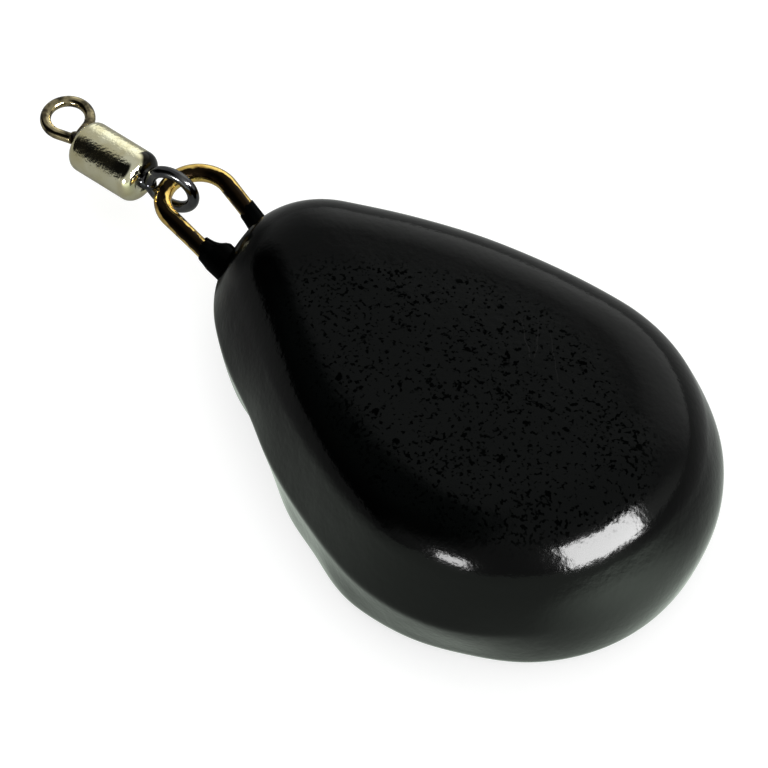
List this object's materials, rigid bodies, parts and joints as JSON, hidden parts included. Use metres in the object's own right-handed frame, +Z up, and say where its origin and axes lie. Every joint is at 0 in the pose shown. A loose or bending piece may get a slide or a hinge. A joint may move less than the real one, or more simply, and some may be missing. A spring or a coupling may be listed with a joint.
{
  "type": "fishing sinker",
  "caption": "Flat pear-shaped fishing lead with a glossy dipped coating, a wire loop cast in its nose and a barrel swivel that takes the line.",
  "frame": {"origin": "on the flat underside, below the centre of the round tail", "axes": "+X runs from the tail to the nose and the swivel, +Z is up from the underside, and +Y completes a right-handed frame across the lead"},
  "size_m": [0.0569, 0.027, 0.0122],
  "materials": {
    "cast_lead": "dull as-cast lead",
    "dipped_skin": "glossy dipped plastic with an orange-peel skin",
    "brass_wire": "drawn wire with dark tarnish",
    "plated_drum": "satin nickel plate",
    "dark_wire": "black nickel plate",
    "bright_wire": "worn nickel plate"
  },
  "bodies": {
    "lead": {"lead_core": "cast_lead", "black_coating": "dipped_skin", "wire_loop": "brass_wire"},
    "loop_eye": {"lower_eye": "dark_wire"},
    "drum": {"swivel_barrel": "plated_drum"},
    "line_eye": {"upper_eye": "bright_wire"}
  },
  "joints": [
    {"name": "eye_swing", "type": "hinge", "parent": "lead", "child": "loop_eye", "pos_m": [0.03214, 0.00037, 0.0047], "axis": [-0.3024, 0.9532, 0], "range_deg": [-130, 125]},
    {"name": "drum_spin", "type": "hinge", "parent": "loop_eye", "child": "drum", "pos_m": [0.03208, 0.00087, 0.0047], "axis": [0.9922, 0.113, -0.0523], "continuous": true},
    {"name": "line_eye_spin", "type": "hinge", "parent": "drum", "child": "line_eye", "pos_m": [0.03208, 0.00087, 0.0047], "axis": [0.9922, 0.113, -0.0523], "continuous": true}
  ]
}
